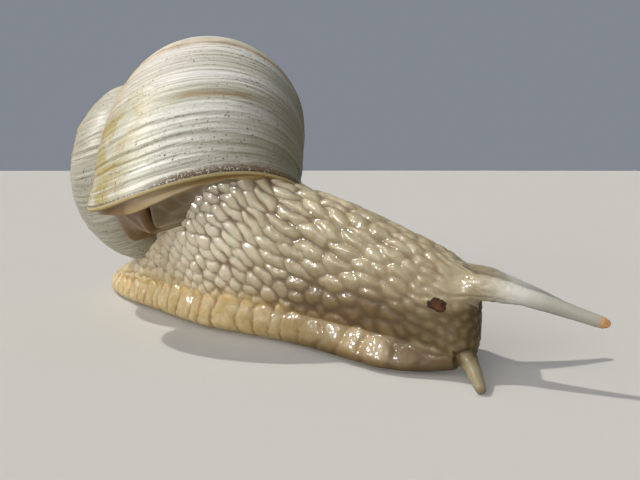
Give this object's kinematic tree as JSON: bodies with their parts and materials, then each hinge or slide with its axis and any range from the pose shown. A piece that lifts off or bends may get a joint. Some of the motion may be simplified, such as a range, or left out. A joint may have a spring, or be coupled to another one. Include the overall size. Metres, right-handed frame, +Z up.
{
  "type": "roman snail",
  "caption": "Life-size still model of a crawling Roman snail: pale coiled shell held high, body stretched forward, feelers out, broad fringed foot.",
  "frame": {"origin": "middle of the whole model's box, at the level of the sole", "axes": "+Z up; the body lies along Y with the head towards -Y and the tail towards +Y; the snail's left side is +X"},
  "size_m": [0.0421, 0.0952, 0.0431],
  "materials": {
    "shell": "chalky off-white to grey shell with fine ridges along its growth lines, ochre and brown stains",
    "skin": "moist cream-beige skin of long raised bumps parted by brown-grey grooves",
    "foot": "moist yellow-ochre fringe with upright grooves",
    "mantle": "smooth moist cream rim, brown and translucent towards the rear",
    "feeler": "smooth, pale and slightly translucent",
    "eye": "small glossy brown spot"
  },
  "bodies": {
    "root": {"shell": "shell", "mantle_collar": "mantle", "tail": "skin", "trunk_rear": "skin", "trunk_front": "skin", "neck": "skin", "head": "skin", "foot_rear": "foot", "foot_middle": "foot", "foot_front": "foot", "upper_feeler_right_root": "feeler", "upper_feeler_right_middle": "feeler", "upper_feeler_right_tip": "feeler", "upper_feeler_left_root": "feeler", "upper_feeler_left_middle": "feeler", "upper_feeler_left_tip": "feeler", "lower_feeler_right_root": "feeler", "lower_feeler_right_tip": "feeler", "lower_feeler_left_root": "feeler", "lower_feeler_left_tip": "feeler", "eye_right": "eye", "eye_left": "eye"}
  },
  "joints": []
}
